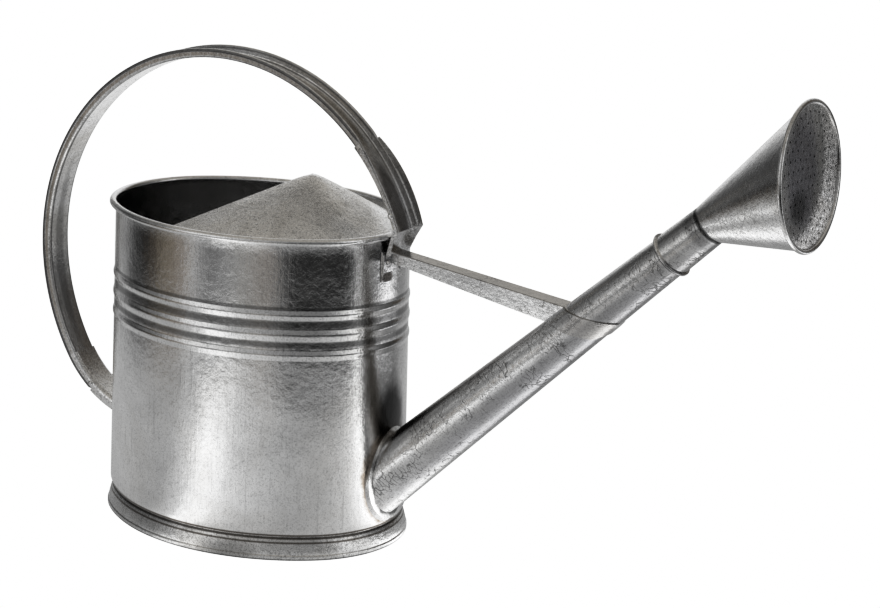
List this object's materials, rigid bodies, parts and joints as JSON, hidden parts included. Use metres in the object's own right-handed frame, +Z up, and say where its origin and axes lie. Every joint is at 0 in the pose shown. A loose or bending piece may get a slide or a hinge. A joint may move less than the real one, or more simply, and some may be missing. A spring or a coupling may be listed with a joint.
{
  "type": "watering can",
  "caption": "Oval galvanised watering can with a half hood, a hoop handle, a braced straight spout and a conical rose that turns and pulls off.",
  "frame": {"origin": "centre of the plane that the foot ring stands on", "axes": "+X towards the spout and the rose, +Z up, +Y to the can's left as seen from behind the handle"},
  "size_m": [0.5727, 0.173, 0.3386],
  "materials": {
    "wall": "hot-dip galvanised, weathered",
    "wire": "hot-dip galvanised, weathered",
    "foot": "hot-dip galvanised, weathered",
    "inside": "hot-dip galvanised, weathered",
    "hood": "hot-dip galvanised, weathered",
    "handle": "hot-dip galvanised, weathered",
    "bracket": "hot-dip galvanised, weathered",
    "rivet": "hot-dip galvanised, weathered",
    "spout": "hot-dip galvanised, weathered",
    "bead": "hot-dip galvanised, weathered",
    "brace": "hot-dip galvanised, weathered",
    "collar": "hot-dip galvanised, weathered",
    "cone": "hot-dip galvanised, weathered",
    "rose_plate": "hot-dip galvanised, weathered",
    "rose_rim": "hot-dip galvanised, weathered"
  },
  "bodies": {
    "can": {"body_wall": "wall", "rim_wire": "wire", "foot_ring": "foot", "bottom_plate": "inside", "hood": "hood", "handle_hoop": "handle", "front_bracket": "bracket", "rear_bracket": "bracket", "front_handle_rivets": "rivet", "rear_handle_rivets": "rivet", "brace_rivets": "rivet", "rear_plate_rivets": "rivet", "spout_tube": "spout", "spout_root_bead": "bead", "brace": "brace"},
    "rose_collar": {"rose_collar": "collar"},
    "rose_head": {"rose_cone": "cone", "rose_plate": "rose_plate", "rose_rim_bead": "rose_rim"}
  },
  "joints": [
    {"name": "rose_pull", "type": "slide", "parent": "can", "child": "rose_collar", "axis": [0.7309, 0, 0.6825], "range_m": [0, 0.04]},
    {"name": "rose_turn", "type": "hinge", "parent": "rose_collar", "child": "rose_head", "pos_m": [0.32601, 0, 0.25444], "axis": [0.7309, 0, 0.6825], "continuous": true}
  ]
}
